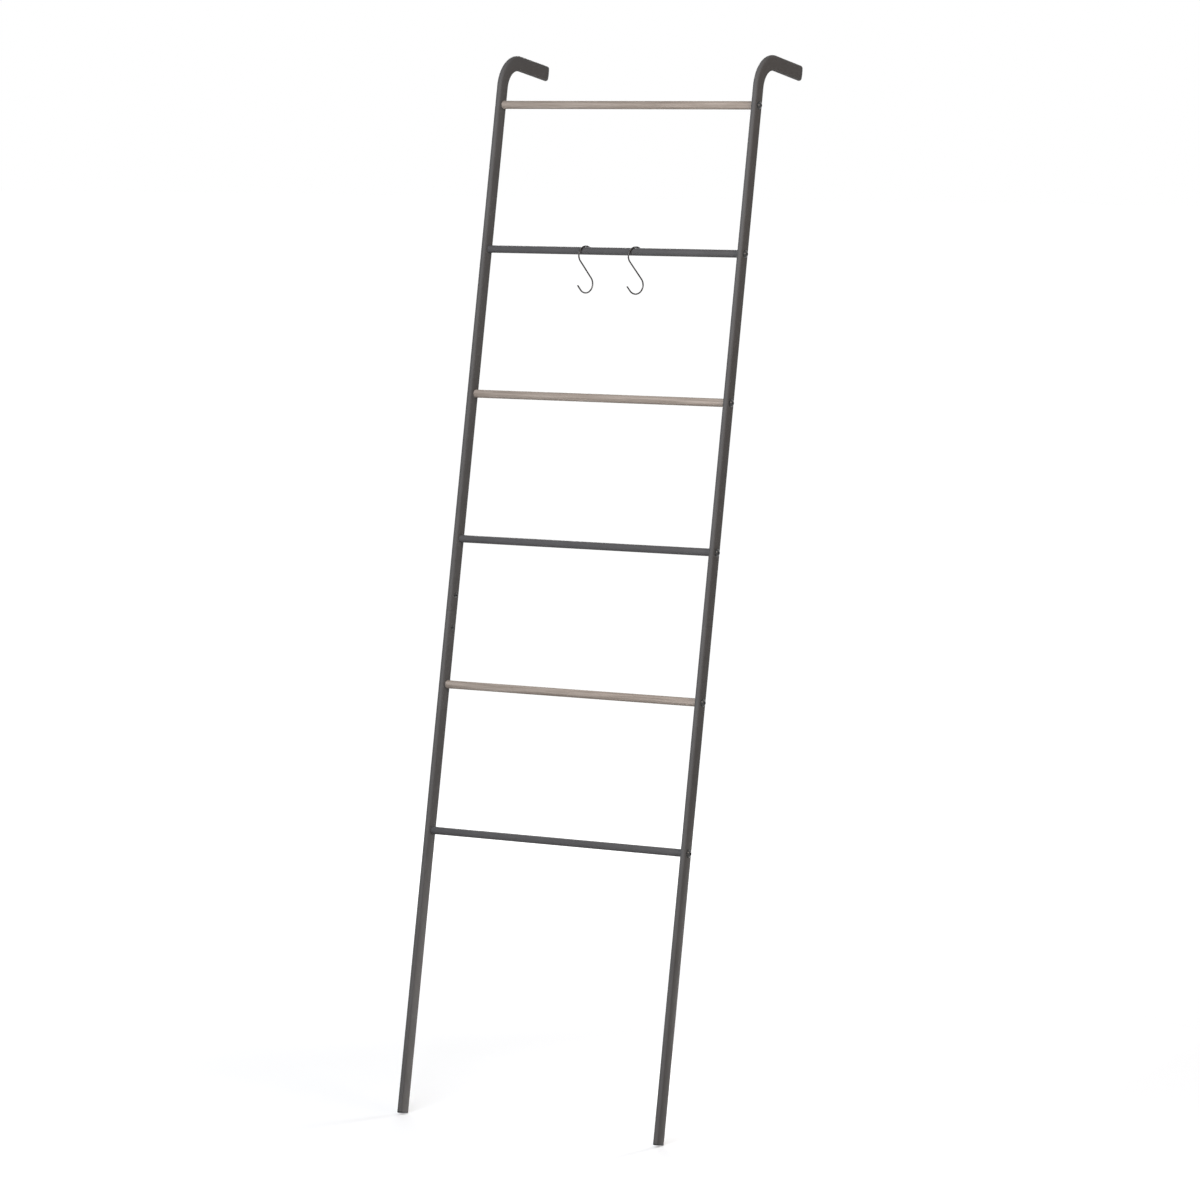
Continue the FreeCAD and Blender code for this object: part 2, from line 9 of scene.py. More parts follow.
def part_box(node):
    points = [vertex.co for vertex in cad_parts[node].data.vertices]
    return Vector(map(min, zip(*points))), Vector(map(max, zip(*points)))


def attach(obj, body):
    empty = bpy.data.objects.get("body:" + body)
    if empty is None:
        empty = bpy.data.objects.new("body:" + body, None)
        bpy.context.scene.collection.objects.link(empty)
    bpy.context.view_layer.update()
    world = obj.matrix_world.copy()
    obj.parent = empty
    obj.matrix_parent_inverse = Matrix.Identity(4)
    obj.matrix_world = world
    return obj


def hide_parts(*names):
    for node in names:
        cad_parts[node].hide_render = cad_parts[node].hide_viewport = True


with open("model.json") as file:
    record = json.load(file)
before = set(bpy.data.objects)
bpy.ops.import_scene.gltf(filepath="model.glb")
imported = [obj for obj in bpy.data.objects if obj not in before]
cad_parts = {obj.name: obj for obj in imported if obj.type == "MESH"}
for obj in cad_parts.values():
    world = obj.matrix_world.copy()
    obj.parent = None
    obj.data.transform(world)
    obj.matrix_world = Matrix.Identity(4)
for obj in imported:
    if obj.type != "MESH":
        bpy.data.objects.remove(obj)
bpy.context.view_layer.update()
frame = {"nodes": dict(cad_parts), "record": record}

slots = {row["node"]: row["material_slot"] for row in frame["record"]["subparts"]}

# Leaning clothes ladder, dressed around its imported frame. Blender's unit is the metre.
MM = 0.001
SIDES = (("left", -1), ("right", 1))
RUNG_COUNT = 6

# Rails and caps. Each flat side bulges by the crown, and the tube is thicker than its solid by the swell.
BEND_RADIUS = 48.5 * MM
RAIL_WALL = 1.2 * MM
RAIL_CROWN = 0.5 * MM
RAIL_SWELL = 0.4 * MM
RAIL_END_EASE = 0.12 * MM
CAP_CLEARANCE = 0.1 * MM
FOOT_ROUND = 0.8 * MM
ARM_CAP_ROUND = 4 * MM

# Rungs
STEEL_WALL = 1.2 * MM
STEEL_END_EASE = 0.8 * MM
WOOD_BORE = 9.1 * MM
WOOD_END_EASE = 2 * MM

# Bolts and screws. An opening is the radius at which the dome stops and the flat around the recess starts.
BOLT_SHANK = 6 * MM
BOLT_RIM = 1 * MM
BOLT_HEIGHT = 4.8 * MM
BOLT_SOCKET = 4 * MM
BOLT_SOCKET_DEPTH = 2.6 * MM
BOLT_OPENING = 2.7 * MM
SCREW_SHANK = 4 * MM
SCREW_RIM = 0.8 * MM
SCREW_HEIGHT = 2.2 * MM
SCREW_SLOT_WIDE = 1.1 * MM
SCREW_SLOT_LONG = 4.2 * MM
SCREW_SLOT_DEPTH = 1.2 * MM
SCREW_OPENING = 2.5 * MM
HEAD_EASE = 0.15 * MM

# Hooks. A loop is measured to the middle of the wire.
HOOK_WIRE = 2.6 * MM
HOOK_LOOP = 15.3 * MM
HOOK_SPACING = 48.6 * MM
HOOK_TAIL = 10 * MM
HOOK_TIP_ROUND = 0.9 * MM
HOOK_CLEARANCE = 0.3 * MM
HOOK_RUNG = "steel_rung_5"
HOOK_TWIST = {"left": math.radians(18.7), "right": math.radians(23.5)}

# How finely shapes are divided, and how near points are merged.
NOSE_STEPS = 18
SIDE_STEPS = 8
BEND_STEPS = 32
RUNG_STEPS = 64
HEAD_STEPS = 48
DOME_STEPS = 8
WIRE_STEPS = 20
LOOP_STEPS = 40
EASE_STEPS = 3
HEXAGON_EDGES = 6
CROSS_EDGES = 12
MERGE = 0.001 * MM

# Edges that turn by more than these angles are creased or eased.
SHARP_ANGLE = math.radians(35)
TUBE_END_ANGLE = math.radians(60)
HEAD_EDGE_ANGLE = math.radians(25)

# The photograph's camera, from the middle of the lowest rung, in metres and degrees.
PHOTO_SIDE = 1200
FOCAL_PIXELS = 4946
SENSOR = 36.0
CAMERA_FROM_RUNG = Vector((4.2936, -6.9997, 1.2573))
CAMERA_TURN = 31.01
CAMERA_DIP = 5.91
CAMERA_REACH = 100

# Studio. The lift is how strongly the floor glows at a distance from its middle, in metres.
WORLD_LIGHT = 0.05
FLOOR_HALF = 60
FLOOR_GREY = 0.6
FLOOR_ROUGHNESS = 0.8
FLOOR_LIFT = (
    (0.0, 0.42),
    (0.3, 0.45),
    (0.6, 0.53),
    (1.0, 0.6),
    (2.5, 0.72),
    (3.2, 0.94),
    (4.0, 1.0),
)
LOW_LAMP_DROP = Vector((0, 0, 0.2))

# Colours of the finishes, as linear red, green and blue. Stops are pairs of position and colour.
RAIL_GREY = (0.111, 0.106, 0.103)
RUNG_GREY = (0.102, 0.098, 0.098)
WOOD_STAIN = (
    (0.32, (0.218, 0.175, 0.144)),
    (0.45, (0.318, 0.262, 0.218)),
    (0.58, (0.389, 0.324, 0.274)),
    (0.70, (0.458, 0.39, 0.334)),
)
WOOD_PORE = (0.172, 0.142, 0.118)
CAP_BLACK = ((0.012, 0.012, 0.012), (0.018, 0.018, 0.018))
FASTENER_BLACK = ((0.005, 0.005, 0.005), (0.009, 0.009, 0.009))
WIRE_BLACK = ((0.042, 0.041, 0.04), (0.078, 0.076, 0.074))
BARE_STEEL = ((0.42, 0.43, 0.44), (0.58, 0.59, 0.6))
BRASS = ((0.5, 0.36, 0.15), (0.68, 0.5, 0.22))

# Shares of a plating's roughness where it is glossiest and dullest.
PLATING_GLOSSY = 0.8
PLATING_DULL = 1.25


# The frame's own measures

def middle(node):
    low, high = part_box(node)
    return (low + high) / 2


FIRST_RUNG = middle("steel_rung_1")
LAST_RUNG = middle("wood_rung_6")
LADDER_MIDDLE = (FIRST_RUNG + LAST_RUNG) / 2
LADDER_FOOT = (middle("foot_cap_left") + middle("foot_cap_right")) / 2
LEAN = math.atan2(LAST_RUNG.y - FIRST_RUNG.y, LAST_RUNG.z - FIRST_RUNG.z)
UPRIGHT = Matrix.Rotation(LEAN, 4, "X")
LEANING = Matrix.Rotation(-LEAN, 4, "X")


def upright_box(node):
    """A node's lowest and highest corners with the ladder's lean taken out."""
    points = [UPRIGHT @ vertex.co for vertex in frame["nodes"][node].data.vertices]
    low = Vector([min(point[axis] for point in points) for axis in range(3)])
    high = Vector([max(point[axis] for point in points) for axis in range(3)])
    return low, high


LOWER_RAIL = upright_box("lower_rail_right")
UPPER_RAIL = upright_box("upper_rail_right")
RAIL_FLAT = LOWER_RAIL[1].x - LOWER_RAIL[0].x
RAIL_THICK = RAIL_FLAT + RAIL_SWELL
RAIL_DEPTH = LOWER_RAIL[1].y - LOWER_RAIL[0].y
RAIL_MIDDLE = (LOWER_RAIL[0].x + LOWER_RAIL[1].x) / 2
RAIL_AXIS_Y = (LOWER_RAIL[0].y + LOWER_RAIL[1].y) / 2
ARM_AXIS_Z = UPPER_RAIL[1].z - RAIL_DEPTH / 2


# Mesh tools

def place_at(point, angle, axis):
    """A turn about an axis, then a move to a point."""
    return Matrix.Translation(point) @ Matrix.Rotation(angle, 4, axis)


def verts_of(geometry):
    return [item for item in geometry if isinstance(item, bmesh.types.BMVert)]


def edges_of(geometry):
    return [item for item in geometry if isinstance(item, bmesh.types.BMEdge)]


def extrude_loop(bm, loop, move=(0, 0, 0), widen=1.0):
    """Extrudes an edge loop, scales it about the Z axis and moves it; gives the new loop."""
    made = bmesh.ops.extrude_edge_only(bm, edges=loop)["geom"]
    verts = verts_of(made)
    bmesh.ops.scale(bm, verts=verts, vec=(widen, widen, 1))
    bmesh.ops.translate(bm, verts=verts, vec=move)
    return [edge for edge in edges_of(made) if edge.verts[0] in verts and edge.verts[1] in verts]


def bend_loop(bm, loop, centre, angle, steps):
    """Sweeps an edge loop round a line along X; gives the loop at the end."""
    made = bmesh.ops.spin(bm, geom=loop, cent=centre, axis=(1, 0, 0), angle=angle, steps=steps)
    return edges_of(made["geom_last"])


def turn_once(bm, geometry, steps):
    """Spins geometry once round the Z axis into a closed surface."""
    bmesh.ops.spin(
        bm,
        geom=geometry,
        cent=(0, 0, 0),
        axis=(0, 0, 1),
        angle=math.tau,
        steps=steps,
        use_merge=True,
    )


def sweep_point(bm, end, centre, angle, steps):
    """Sweeps a point on a level arc; gives the point at its end."""
    arc = bmesh.ops.spin(bm, geom=end, cent=centre, axis=(0, 0, 1), angle=angle, steps=steps)
    return verts_of(arc["geom_last"])


def oval_loop(bm, thick, depth, place=Vector()):
    """A level oval edge loop: two long shallow arcs for its sides and two round noses."""
    before = set(bm.edges)
    nose = thick / 2 - RAIL_CROWN
    reach = depth / 2 - nose
    side = (reach**2 + thick**2 / 4 - nose**2) / (2 * RAIL_CROWN)
    half = math.asin(reach / (side - nose))
    start = Vector((thick / 2 - side + side * math.cos(half), -side * math.sin(half), 0))
    end = [bm.verts.new(place + start)]
    for way in (1, -1):
        side_centre = place + Vector((way * (thick / 2 - side), 0, 0))
        nose_centre = place + Vector((0, way * reach, 0))
        end = sweep_point(bm, end, side_centre, 2 * half, SIDE_STEPS)
        end = sweep_point(bm, end, nose_centre, math.pi - 2 * half, NOSE_STEPS)
    bmesh.ops.remove_doubles(bm, verts=bm.verts, dist=MERGE)
    return [edge for edge in bm.edges if edge not in before]


def fill(bm, loop):
    bmesh.ops.contextual_create(bm, geom=loop)


def sharp_edges(bm, angle=SHARP_ANGLE):
    return [edge for edge in bm.edges if edge.is_manifold and edge.calc_face_angle() > angle]


def ease(bm, edges, offset):
    """Rounds edges over, as a file or a mould does."""
    bmesh.ops.bevel(
        bm,
        geom=edges,
        offset=offset,
        offset_type="OFFSET",
        segments=EASE_STEPS,
        profile=0.5,
        affect="EDGES",
        clamp_overlap=True,
        material=-1,
    )


def face_outwards(bm):
    bmesh.ops.remove_doubles(bm, verts=bm.verts, dist=MERGE)
    bmesh.ops.recalc_face_normals(bm, faces=bm.faces)


def make_piece(bm, node, body="ladder_frame", place=LEANING):
    """Turns a bmesh into the piece that stands for a CAD node."""
    bmesh.ops.transform(bm, matrix=place, verts=bm.verts)
    for face in bm.faces:
        face.smooth = True
    for edge in sharp_edges(bm):
        edge.smooth = False
    mesh = bpy.data.meshes.new(node + "_piece")
    bm.to_mesh(mesh)
    bm.free()
    piece = bpy.data.objects.new(node + "_piece", mesh)
    bpy.context.scene.collection.objects.link(piece)
    mesh.materials.append(looks[slots[node]])
    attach(piece, body)
    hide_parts(node)


# Rails

def rail_wall(bm):
    """Gives an open tube its wall and breaks the edges at its ends."""
    face_outwards(bm)
    bmesh.ops.solidify(bm, geom=bm.faces[:], thickness=RAIL_WALL)
    ease(bm, sharp_edges(bm, TUBE_END_ANGLE), RAIL_END_EASE)


def lower_rail(side, sign):
    """The straight tube from its foot cap up to the seam."""
    bm = bmesh.new()
    low, high = LOWER_RAIL
    loop = oval_loop(bm, RAIL_THICK, RAIL_DEPTH, Vector((sign * RAIL_MIDDLE, RAIL_AXIS_Y, low.z)))
    extrude_loop(bm, loop, (0, 0, high.z - low.z))
    rail_wall(bm)
    make_piece(bm, "lower_rail_" + side)


def upper_rail(side, sign):
    """The tube from the seam up, with its bend and its arm."""
    bm = bmesh.new()
    low, high = UPPER_RAIL
    across = sign * RAIL_MIDDLE
    bend_centre = Vector((across, RAIL_AXIS_Y + BEND_RADIUS, ARM_AXIS_Z - BEND_RADIUS))
    loop = oval_loop(bm, RAIL_THICK, RAIL_DEPTH, Vector((across, RAIL_AXIS_Y, low.z)))
    loop = extrude_loop(bm, loop, (0, 0, bend_centre.z - low.z))
    loop = bend_loop(bm, loop, bend_centre, -math.pi / 2, BEND_STEPS)
    extrude_loop(bm, loop, (0, high.y - bend_centre.y, 0))
    rail_wall(bm)
    make_piece(bm, "upper_rail_" + side)


def end_cap(node, flange, plug, rounding, place):
    """A cap on a tube's end, with the Z axis pointing out of the tube."""
    bm = bmesh.new()
    bore = 2 * (RAIL_WALL + CAP_CLEARANCE)
    outline = oval_loop(bm, RAIL_THICK, RAIL_DEPTH)
    inside = oval_loop(bm, RAIL_THICK - bore, RAIL_DEPTH - bore)
    face = extrude_loop(bm, outline, (0, 0, flange))
    fill(bm, face)
    fill(bm, extrude_loop(bm, inside, (0, 0, -plug)))
    bmesh.ops.bridge_loops(bm, edges=outline + inside)
    face_outwards(bm)
    ease(bm, face, rounding)
    make_piece(bm, node, place=LEANING @ place)


def foot_cap(side, sign):
    node = "foot_cap_" + side
    low, high = upright_box(node)
    rail_end = LOWER_RAIL[0].z
    place = place_at((sign * RAIL_MIDDLE, RAIL_AXIS_Y, rail_end), math.pi, "X")
    end_cap(node, rail_end - low.z, high.z - rail_end, FOOT_ROUND, place)


def arm_cap(side, sign):
    node = "arm_cap_" + side
    low, high = upright_box(node)
    arm_end = UPPER_RAIL[1].y
    place = place_at((sign * RAIL_MIDDLE, arm_end, ARM_AXIS_Z), -math.pi / 2, "X")
    end_cap(node, high.y - arm_end, arm_end - low.y, ARM_CAP_ROUND, place)


# Rungs

def turn_outline(bm, outline):
    """Turns an outline of (radius, height) points, as a lathe does."""
    verts = [bm.verts.new((radius, 0, height)) for radius, height in outline]
    edges = [bm.edges.new(pair) for pair in zip(verts, verts[1:])]
    turn_once(bm, verts + edges, RUNG_STEPS)
    face_outwards(bm)


def rung(node, bore, end_ease):
    """A rung turned about its own axis and laid between the rails."""
    bm = bmesh.new()
    low, high = upright_box(node)
    radius = (high.y - low.y) / 2
    half = (high.x - low.x) / 2
    turn_outline(bm, [(bore, -half), (radius, -half), (radius, half), (bore, half), (bore, -half)])
    mid_wall = (radius + bore) / 2
    rims = [edge for edge in sharp_edges(bm) if all(vert.co.xy.length > mid_wall for vert in edge.verts)]
    ease(bm, rims, end_ease)
    make_piece(bm, node, place=LEANING @ place_at((low + high) / 2, math.pi / 2, "Y"))


def steel_rung(number):
    node = "steel_rung_%d" % number
    low, high = upright_box(node)
    rung(node, (high.y - low.y) / 2 - STEEL_WALL, STEEL_END_EASE)


def wood_rung(number):
    rung("wood_rung_%d" % number, WOOD_BORE / 2, WOOD_END_EASE)


# Bolts and screws

def loop_at(bm, height):
    """The open edge loop at a height."""
    rims = [edge for edge in bm.edges if edge.is_boundary]
    return [edge for edge in rims if all(abs(vert.co.z - height) < MERGE for vert in edge.verts)]


def domed_head(bm, width, rim, height, opening):
    """Rim and dome about the Z axis, open on top; gives the height of that opening."""
    rise = height - rim
    dome = (width * width / 4 + rise * rise) / (2 * rise)
    centre = Vector((0, 0, height - dome))
    sweep = math.asin(width / 2 / dome) - math.asin(opening / dome)
    foot = [bm.verts.new((width / 2, 0, 0))]
    top = verts_of(bmesh.ops.extrude_vert_indiv(bm, verts=foot)["verts"])
    bmesh.ops.translate(bm, verts=top, vec=(0, 0, rim))
    bmesh.ops.spin(bm, geom=top, cent=centre, axis=(0, 1, 0), angle=-sweep, steps=DOME_STEPS)
    turn_once(bm, bm.verts[:] + bm.edges[:], HEAD_STEPS)
    bmesh.ops.remove_doubles(bm, verts=bm.verts, dist=MERGE)
    return centre.z + math.sqrt(dome * dome - opening * opening)


def divide(bm, parts):
    """Divides the bare edges of a recess's outline and gives them all."""
    bare = [edge for edge in bm.edges if edge.is_wire]
    bmesh.ops.subdivide_edges(bm, edges=bare, cuts=parts - 1)
    return [edge for edge in bm.edges if edge.is_wire]


def hexagon(bm, height):
    """Outline of the bolt's hexagon recess, with as many edges as the head."""
    place = Matrix.Translation((0, 0, height))
    radius = BOLT_SOCKET / math.sqrt(3)
    bmesh.ops.create_circle(bm, segments=HEXAGON_EDGES, radius=radius, matrix=place)
    return divide(bm, HEAD_STEPS // HEXAGON_EDGES)


def cross(bm, height):
    """Outline of the screw's cross recess, with as many edges as the head."""
    head = set(bm.faces)
    place = Matrix.Translation((0, 0, height))
    half = SCREW_SLOT_WIDE / 2
    square = bmesh.ops.create_grid(bm, x_segments=1, y_segments=1, size=half, matrix=place)["verts"]
    sides = [edge for edge in bm.edges if edge.verts[0] in square and edge.verts[1] in square]
    for side in sides:
        outwards = (side.verts[0].co + side.verts[1].co).xy.normalized()
        arm = outwards * (SCREW_SLOT_LONG - SCREW_SLOT_WIDE) / 2
        extrude_loop(bm, [side], (arm.x, arm.y, 0))
    plate = [face for face in bm.faces if face not in head]
    bmesh.ops.delete(bm, geom=plate, context="FACES_KEEP_BOUNDARY")
    return divide(bm, HEAD_STEPS // CROSS_EDGES)


def fastener(node, place, length, width, rim, height, opening, recess, depth, shank):
    """A domed head with a recess and a shank, with the Z axis pointing out of the head."""
    bm = bmesh.new()
    brim = domed_head(bm, width, rim, height, opening)
    outline = recess(bm, brim)
    bmesh.ops.bridge_loops(bm, edges=loop_at(bm, brim) + outline)
    fill(bm, extrude_loop(bm, outline, (0, 0, height - depth - brim)))
    neck = extrude_loop(bm, loop_at(bm, 0), widen=shank / width)
    fill(bm, extrude_loop(bm, neck, (0, 0, -length)))
    face_outwards(bm)
    ease(bm, sharp_edges(bm, HEAD_EDGE_ANGLE), HEAD_EASE)
    make_piece(bm, node, place=LEANING @ place)


def rung_bolt(side, sign, number):
    """A bolt through the outer face of a rail into the end of a rung."""
    node = "rung_bolt_%s_%d" % (side, number)
    low, high = upright_box(node)
    centre = (low + high) / 2
    rail_face = RAIL_MIDDLE + RAIL_FLAT / 2
    inner_end = min(abs(low.x), abs(high.x))
    fastener(
        node,
        place_at((sign * rail_face, centre.y, centre.z), sign * math.pi / 2, "Y"),
        length=rail_face - inner_end,
        width=high.y - low.y,
        rim=BOLT_RIM,
        height=BOLT_HEIGHT,
        opening=BOLT_OPENING,
        recess=hexagon,
        depth=BOLT_SOCKET_DEPTH,
        shank=BOLT_SHANK,
    )


def joint_screw(side, sign, end):
    """A screw through the inner face of a rail into the joiner at its seam."""
    node = "joint_screw_%s_%s" % (side, end)
    low, high = upright_box(node)
    centre = (low + high) / 2
    rail_face = RAIL_MIDDLE - RAIL_FLAT / 2
    outer_end = max(abs(low.x), abs(high.x))
    fastener(
        node,
        place_at((sign * rail_face, centre.y, centre.z), -sign * math.pi / 2, "Y"),
        length=outer_end - rail_face,
        width=high.y - low.y,
        rim=SCREW_RIM,
        height=SCREW_HEIGHT,
        opening=SCREW_OPENING,
        recess=cross,
        depth=SCREW_SLOT_DEPTH,
        shank=SCREW_SHANK,
    )


# Hooks

def bend_hook(bm, rung_radius):
    """An S of wire around the rung's axis: tail, loop, spine, loop, tail."""
    slope = math.asin(2 * HOOK_LOOP / HOOK_SPACING)
    down = Vector((0, math.sin(slope), -math.cos(slope)))
    loop_side = Vector((0, math.cos(slope), math.sin(slope))) * HOOK_LOOP
    upper = Vector((0, 0, rung_radius + HOOK_CLEARANCE + HOOK_WIRE / 2 - HOOK_LOOP))
    lower = upper - Vector((0, 0, HOOK_SPACING))
    start = place_at(upper + loop_side + HOOK_TAIL * down, slope, "X")
    bmesh.ops.create_circle(bm, segments=WIRE_STEPS, radius=HOOK_WIRE / 2, matrix=start)
    first = bm.edges[:]
    loop = extrude_loop(bm, first, -HOOK_TAIL * down)
    loop = bend_loop(bm, loop, upper, math.pi, LOOP_STEPS)
    loop = extrude_loop(bm, loop, HOOK_SPACING * math.cos(slope) * down)
    loop = bend_loop(bm, loop, lower, -math.pi, LOOP_STEPS)
    last = extrude_loop(bm, loop, -HOOK_TAIL * down)
    fill(bm, first)
    fill(bm, last)
    face_outwards(bm)
    ease(bm, sharp_edges(bm), HOOK_TIP_ROUND)


def hook(side):
    """A hook hung on its rung and twisted a little."""
    bm = bmesh.new()
    node = "hook_" + side
    low, high = upright_box(HOOK_RUNG)
    bend_hook(bm, (high.y - low.y) / 2)
    rung_axis = middle(HOOK_RUNG)
    hang = Vector((middle(node).x, rung_axis.y, rung_axis.z))
    make_piece(bm, node, node, place_at(hang, -HOOK_TWIST[side], "Z"))


# Material tools

def new_look(name, **inputs):
    """A material with its Principled shader's constants set."""
    look = bpy.data.materials.new(name)
    look.use_nodes = True
    shader = look.node_tree.nodes["Principled BSDF"]
    for key, value in inputs.items():
        shader.inputs[key.replace("_", " ")].default_value = value
    return look.node_tree, shader, look


def connect(tree, shader, **outputs):
    """Joins outputs of nodes to the shader's inputs."""
    for key, output in outputs.items():
        tree.links.new(output, shader.inputs[key.replace("_", " ")])


def add(tree, kind, **inputs):
    """A node of a kind, with some of its inputs set."""
    node = tree.nodes.new("ShaderNode" + kind)
    for key, value in inputs.items():
        node.inputs[key.replace("_", " ")].default_value = value
    return node


def object_place(tree, scale=(1, 1, 1)):
    """Object coordinates stretched along the axes."""
    coordinates = add(tree, "TexCoord")
    mapping = add(tree, "Mapping", Scale=scale)
    tree.links.new(coordinates.outputs["Object"], mapping.inputs["Vector"])
    return mapping.outputs["Vector"]


def noise(tree, place, scale, detail):
    texture = add(tree, "TexNoise", Scale=scale, Detail=detail)
    tree.links.new(place, texture.inputs["Vector"])
    return texture.outputs["Fac"]


def grain(tree, along, across, detail):
    """A noise drawn out along X, as wood's grain is."""
    return noise(tree, object_place(tree, (along, across, across)), scale=1, detail=detail)


def spread(tree, value, low, high, start=0.3, end=0.7):
    """Maps a value's range, or a noise's middle range, to two limits."""
    node = add(tree, "MapRange", From_Min=start, From_Max=end, To_Min=low, To_Max=high)
    tree.links.new(value, node.inputs["Value"])
    return node.outputs["Result"]


def shades(tree, value, stops):
    """Colours along a value: pairs of position and colour."""
    ramp = add(tree, "ValToRGB")
    points = ramp.color_ramp.elements
    points.remove(points[1])
    points[0].position = stops[0][0]
    points[0].color = (*stops[0][1], 1)
    for position, colour in stops[1:]:
        points.new(position).color = (*colour, 1)
    tree.links.new(value, ramp.inputs["Fac"])
    return ramp.outputs["Color"]


def two_tones(tree, value, tones, start=0.35, end=0.65):
    """A noise's dark and light tones."""
    return shades(tree, value, ((start, tones[0]), (end, tones[1])))


def mix(tree, first, second, share):
    """Two values mixed by a fixed share of the second."""
    node = add(tree, "MixRGB", Fac=share)
    tree.links.new(first, node.inputs["Color1"])
    tree.links.new(second, node.inputs["Color2"])
    return node.outputs["Color"]


def calculate(tree, operation, first, second):
    """One value worked out from two."""
    node = add(tree, "Math")
    node.operation = operation
    tree.links.new(first, node.inputs[0])
    tree.links.new(second, node.inputs[1])
    return node.outputs["Value"]


def bump(tree, shader, height, distance):
    node = add(tree, "Bump", Distance=distance)
    tree.links.new(height, node.inputs["Height"])
    connect(tree, shader, Normal=node.outputs["Normal"])


def tint(colour, share):
    return tuple(channel * share for channel in colour)


# Finishes

def powder_coat(name, colour):
    """Fine-textured satin powder coat: small peaks, and faint clouds where it lies thicker."""
    tree, shader, look = new_look(name, Specular_IOR_Level=0.05)
    place = object_place(tree)
    clouds = noise(tree, place, scale=14, detail=3)
    peaks = noise(tree, place, scale=1300, detail=2)
    coat = two_tones(tree, clouds, (tint(colour, share=0.94), tint(colour, share=1.06)))
    connect(tree, shader, Base_Color=coat, Roughness=spread(tree, clouds, low=0.42, high=0.52))
    bump(tree, shader, peaks, distance=0.03 * MM)
    return look


def stained_wood(name):
    """Grey-stained dowel: long grain bands, fine fibres and short dark pores along X."""
    tree, shader, look = new_look(name, Specular_IOR_Level=0.35)
    bands = grain(tree, along=9, across=300, detail=2)
    fibres = grain(tree, along=30, across=1400, detail=3)
    pores = grain(tree, along=70, across=2600, detail=1)
    stain = shades(tree, mix(tree, bands, fibres, share=0.25), WOOD_STAIN)
    darker = add(tree, "MixRGB", Color2=(*WOOD_PORE, 1))
    pore_share = spread(tree, pores, low=0.5, high=0.0, start=0.26, end=0.36)
    tree.links.new(pore_share, darker.inputs["Fac"])
    tree.links.new(stain, darker.inputs["Color1"])
    dull = spread(tree, fibres, low=0.62, high=0.75)
    connect(tree, shader, Base_Color=darker.outputs["Color"], Roughness=dull)
    bump(tree, shader, fibres, distance=0.05 * MM)
    return look


def moulded_plastic(name):
    """Black plastic with the fine spark-eroded grain of its mould."""
    tree, shader, look = new_look(name, Specular_IOR_Level=0.4)
    place = object_place(tree)
    sparks = noise(tree, place, scale=1800, detail=2)
    clouds = noise(tree, place, scale=40, detail=2)
    black = two_tones(tree, clouds, CAP_BLACK)
    connect(tree, shader, Base_Color=black, Roughness=spread(tree, clouds, low=0.38, high=0.5))
    bump(tree, shader, sparks, distance=0.02 * MM)
    return look


def black_fastener(name):
    """Glossy black plated steel."""
    tree, shader, look = new_look(name, Specular_IOR_Level=0.6)
    marks = noise(tree, object_place(tree), scale=900, detail=3)
    black = two_tones(tree, marks, FASTENER_BLACK)
    connect(tree, shader, Base_Color=black, Roughness=spread(tree, marks, low=0.14, high=0.22))
    bump(tree, shader, marks, distance=0.006 * MM)
    return look


def plated_metal(name, tones, rough):
    """Plated metal: clouded tone, uneven gloss and faint tool marks."""
    tree, shader, look = new_look(name, Metallic=1.0)
    place = object_place(tree)
    clouds = noise(tree, place, scale=120, detail=3)
    marks = noise(tree, place, scale=2500, detail=2)
    plating = two_tones(tree, clouds, tones, start=0.3, end=0.7)
    gloss = spread(tree, marks, low=rough * PLATING_GLOSSY, high=rough * PLATING_DULL)
    connect(tree, shader, Base_Color=plating, Roughness=gloss)
    bump(tree, shader, marks, distance=0.004 * MM)
    return look


# Studio

def photo_camera():
    data = bpy.data.cameras.new("photo_camera")
    data.sensor_width = SENSOR
    data.lens = SENSOR * FOCAL_PIXELS / PHOTO_SIDE
    data.clip_end = CAMERA_REACH
    camera = bpy.data.objects.new("photo_camera", data)
    camera.location = FIRST_RUNG + CAMERA_FROM_RUNG
    camera.rotation_euler = (math.radians(90 - CAMERA_DIP), 0, math.radians(CAMERA_TURN))
    bpy.context.scene.collection.objects.link(camera)
    bpy.context.scene.camera = camera


def seen_rays(tree):
    """One for camera, glossy and transmission rays, and nought for the rest."""
    path = add(tree, "LightPath")
    seen = path.outputs["Is Camera Ray"]
    for name in ("Is Glossy Ray", "Is Transmission Ray"):
        seen = calculate(tree, "MAXIMUM", seen, path.outputs[name])
    return seen


def floor_look():
    """A pale matt finish that glows where it is seen, by its distance from the floor's middle."""
    tree, shader, look = new_look(
        "floor_white",
        Base_Color=(FLOOR_GREY, FLOOR_GREY, FLOOR_GREY, 1),
        Roughness=FLOOR_ROUGHNESS,
        Specular_IOR_Level=0.0,
        Emission_Color=(1, 1, 1, 1),
    )
    distance = add(tree, "VectorMath")
    distance.operation = "LENGTH"
    tree.links.new(object_place(tree), distance.inputs[0])
    furthest = FLOOR_LIFT[-1][0]
    reach = spread(tree, distance.outputs["Value"], low=0, high=1, start=0, end=furthest)
    lift = shades(tree, reach, [(away / furthest, (level, level, level)) for away, level in FLOOR_LIFT])
    connect(tree, shader, Emission_Strength=calculate(tree, "MULTIPLY", lift, seen_rays(tree)))
    return look


